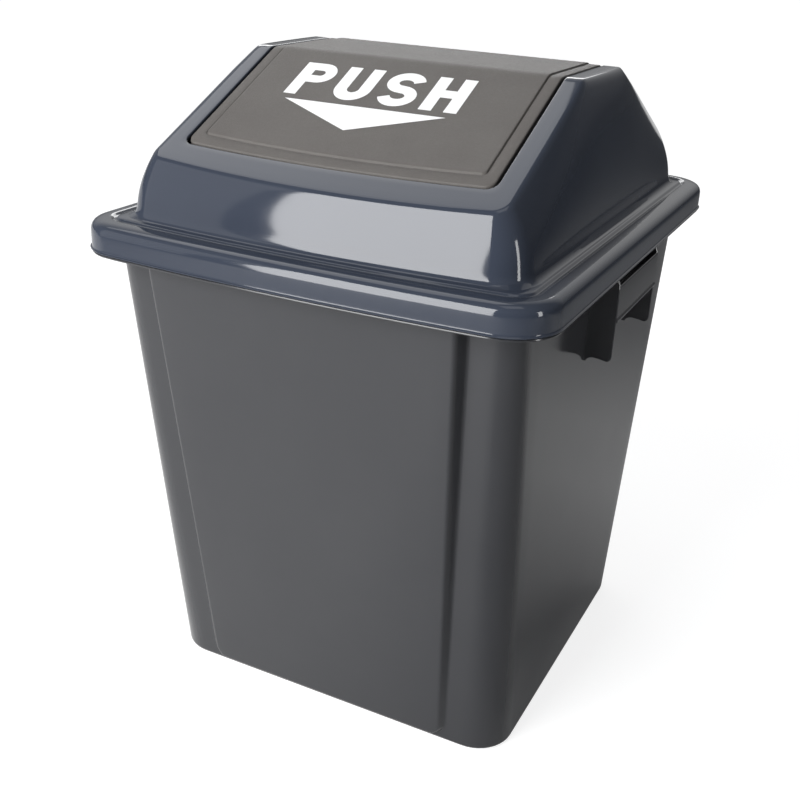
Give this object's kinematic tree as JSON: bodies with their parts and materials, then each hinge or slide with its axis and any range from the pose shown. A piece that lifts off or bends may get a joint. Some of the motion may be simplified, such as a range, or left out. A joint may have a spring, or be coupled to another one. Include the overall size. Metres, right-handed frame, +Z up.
{
  "type": "swing-lid trash can",
  "caption": "Tapered rectangular bin with raised panels, side hand grips, a lift-off hood and a two-way push flap.",
  "frame": {"origin": "middle of the base, on the surface that the bin stands on", "axes": "+Z up, front towards -Y, +X to the right seen from the front"},
  "size_m": [0.33, 0.412, 0.4649],
  "materials": {
    "bucket_plastic": "smooth injection-moulded polypropylene, semi-gloss dark grey",
    "hood_plastic": "smooth injection-moulded polypropylene, glossy slate blue-grey",
    "flap_plastic": "fine-grained matt warm grey",
    "pin_plastic": "smooth black"
  },
  "bodies": {
    "bin": {"bin_body": "bucket_plastic"},
    "lid": {"lid_hood": "hood_plastic"},
    "flap": {"swing_flap": "flap_plastic", "left_pivot_pin": "pin_plastic", "right_pivot_pin": "pin_plastic"}
  },
  "joints": [
    {"name": "lid_lift", "type": "slide", "parent": "bin", "child": "lid", "axis": [0, 0, 1], "range_m": [0, 0.15]},
    {"name": "flap_swing", "type": "hinge", "parent": "lid", "child": "flap", "pos_m": [0, 0, 0.452], "axis": [1, 0, 0], "range_deg": [-75, 75]}
  ]
}
